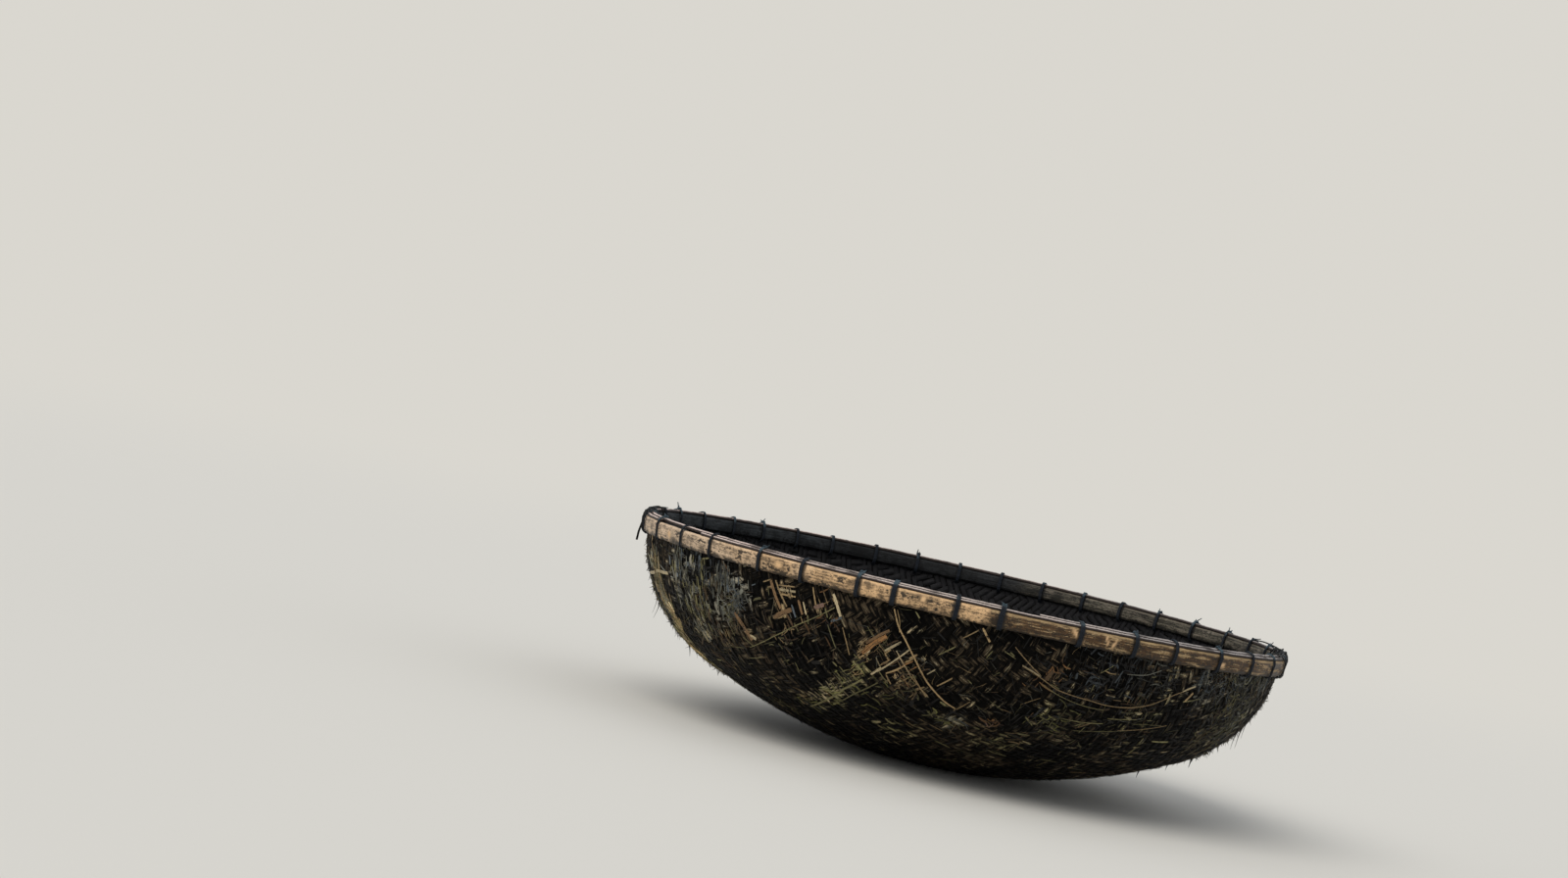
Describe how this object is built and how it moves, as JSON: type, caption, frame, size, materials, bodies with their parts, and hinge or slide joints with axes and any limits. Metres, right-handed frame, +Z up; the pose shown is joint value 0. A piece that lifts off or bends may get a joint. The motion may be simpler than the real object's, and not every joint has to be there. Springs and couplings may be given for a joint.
{
  "type": "coracle",
  "caption": "Round woven split bamboo basket boat with a tarred hull, a gunwale of bamboo laths and cap strips lashed through the wall with cord, and battens across the bottom",
  "frame": {"origin": "middle of the flat foot, on the floor", "axes": "+Z up, the axis of the round bowl; the side shown in the picture faces -Y; +X is the picture's right"},
  "size_m": [2.0037, 2.0037, 0.5649],
  "materials": {
    "tarred_weave": "woven split bamboo under old tar, near black with worn tan and mossy places",
    "outer_bamboo": "weathered bamboo, golden tan with grey and rust tones and dark specks",
    "inner_bamboo": "wet, dark grey weathered bamboo",
    "cap_bamboo": "silver grey and pinkish weathered bamboo strip",
    "lashing_cord": "dark blue black cord, faded to teal on top",
    "batten_bamboo": "dark brown split bamboo stained by tar"
  },
  "bodies": {
    "root": {"basket_shell": "tarred_weave", "outer_lath_1": "outer_bamboo", "outer_lath_2": "outer_bamboo", "inner_lath_1": "inner_bamboo", "inner_lath_2": "inner_bamboo", "outer_cap_strip_1": "cap_bamboo", "outer_cap_strip_2": "cap_bamboo", "inner_cap_strip_1": "cap_bamboo", "inner_cap_strip_2": "cap_bamboo", "lashings_near_left": "lashing_cord", "lashings_near_right": "lashing_cord", "lashings_far_right": "lashing_cord", "lashings_far_left": "lashing_cord", "long_batten_1": "batten_bamboo", "long_batten_2": "batten_bamboo", "long_batten_3": "batten_bamboo", "cross_batten_1": "batten_bamboo", "cross_batten_2": "batten_bamboo", "cross_batten_3": "batten_bamboo", "batten_ties": "lashing_cord"}
  },
  "joints": []
}
